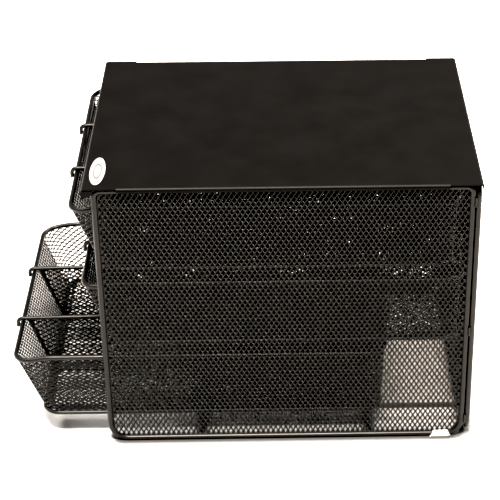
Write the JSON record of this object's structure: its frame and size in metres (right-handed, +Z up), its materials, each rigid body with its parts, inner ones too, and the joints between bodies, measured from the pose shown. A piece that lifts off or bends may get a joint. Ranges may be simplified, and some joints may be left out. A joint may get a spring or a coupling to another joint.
{
  "type": "desk organizer",
  "caption": "Black steel-mesh desk organizer with three sliding drawers, each with hooked dividers, under a flat folded-steel top.",
  "frame": {"origin": "on the desk, under the middle of the organizer's box as it stands, with its bottom drawer part way out", "axes": "+Z up, -Y towards the front where the drawers open, +X to the right of someone facing the front"},
  "size_m": [0.21, 0.3352, 0.21],
  "materials": {
    "panel_black": "satin",
    "wire_black": "satin",
    "mesh_black": "satin",
    "badge_white": "satin",
    "pad_white": "matte"
  },
  "bodies": {
    "case": {"top_panel": "panel_black", "badge": "badge_white", "back_frame": "wire_black", "back_mesh": "mesh_black", "rear_weld_beads": "wire_black", "front_cross_tie": "wire_black", "rear_cross_tie": "wire_black", "left_side_frame": "wire_black", "left_side_mesh": "mesh_black", "left_foot_pad": "pad_white", "left_bottom_runner": "wire_black", "left_middle_runner": "wire_black", "left_top_runner": "wire_black", "right_side_frame": "wire_black", "right_side_mesh": "mesh_black", "right_foot_pad": "pad_white", "right_bottom_runner": "wire_black", "right_middle_runner": "wire_black", "right_top_runner": "wire_black"},
    "bottom_drawer": {"bottom_drawer_rim": "wire_black", "bottom_drawer_base_wire": "wire_black", "bottom_drawer_wall_mesh": "mesh_black", "bottom_drawer_floor_mesh": "mesh_black"},
    "bottom_left_divider": {"bottom_left_divider_rod": "wire_black", "bottom_left_divider_panel": "mesh_black"},
    "bottom_right_divider": {"bottom_right_divider_rod": "wire_black", "bottom_right_divider_panel": "mesh_black"},
    "middle_drawer": {"middle_drawer_rim": "wire_black", "middle_drawer_base_wire": "wire_black", "middle_drawer_wall_mesh": "mesh_black", "middle_drawer_floor_mesh": "mesh_black"},
    "middle_left_divider": {"middle_left_divider_rod": "wire_black", "middle_left_divider_panel": "mesh_black"},
    "middle_right_divider": {"middle_right_divider_rod": "wire_black", "middle_right_divider_panel": "mesh_black"},
    "top_drawer": {"top_drawer_rim": "wire_black", "top_drawer_base_wire": "wire_black", "top_drawer_wall_mesh": "mesh_black", "top_drawer_floor_mesh": "mesh_black"},
    "top_left_divider": {"top_left_divider_rod": "wire_black", "top_left_divider_panel": "mesh_black"},
    "top_right_divider": {"top_right_divider_rod": "wire_black", "top_right_divider_panel": "mesh_black"}
  },
  "joints": [
    {"name": "bottom_drawer_slide", "type": "slide", "parent": "case", "child": "bottom_drawer", "axis": [0, -1, 0], "range_m": [-0.05475, 0.13525]},
    {"name": "bottom_left_divider_slide", "type": "slide", "parent": "bottom_drawer", "child": "bottom_left_divider", "axis": [1, 0, 0], "range_m": [-0.05165, 0.03]},
    {"name": "bottom_right_divider_slide", "type": "slide", "parent": "bottom_drawer", "child": "bottom_right_divider", "axis": [1, 0, 0], "range_m": [-0.03, 0.03565]},
    {"name": "middle_drawer_slide", "type": "slide", "parent": "case", "child": "middle_drawer", "axis": [0, -1, 0], "range_m": [-0.00155, 0.18845]},
    {"name": "middle_left_divider_slide", "type": "slide", "parent": "middle_drawer", "child": "middle_left_divider", "axis": [1, 0, 0], "range_m": [-0.05035, 0.0313]},
    {"name": "middle_right_divider_slide", "type": "slide", "parent": "middle_drawer", "child": "middle_right_divider", "axis": [1, 0, 0], "range_m": [-0.0234, 0.04225]},
    {"name": "top_drawer_slide", "type": "slide", "parent": "case", "child": "top_drawer", "axis": [0, -1, 0], "range_m": [-0.00625, 0.18375]},
    {"name": "top_left_divider_slide", "type": "slide", "parent": "top_drawer", "child": "top_left_divider", "axis": [1, 0, 0], "range_m": [-0.04995, 0.0317]},
    {"name": "top_right_divider_slide", "type": "slide", "parent": "top_drawer", "child": "top_right_divider", "axis": [1, 0, 0], "range_m": [-0.025, 0.04065]}
  ]
}
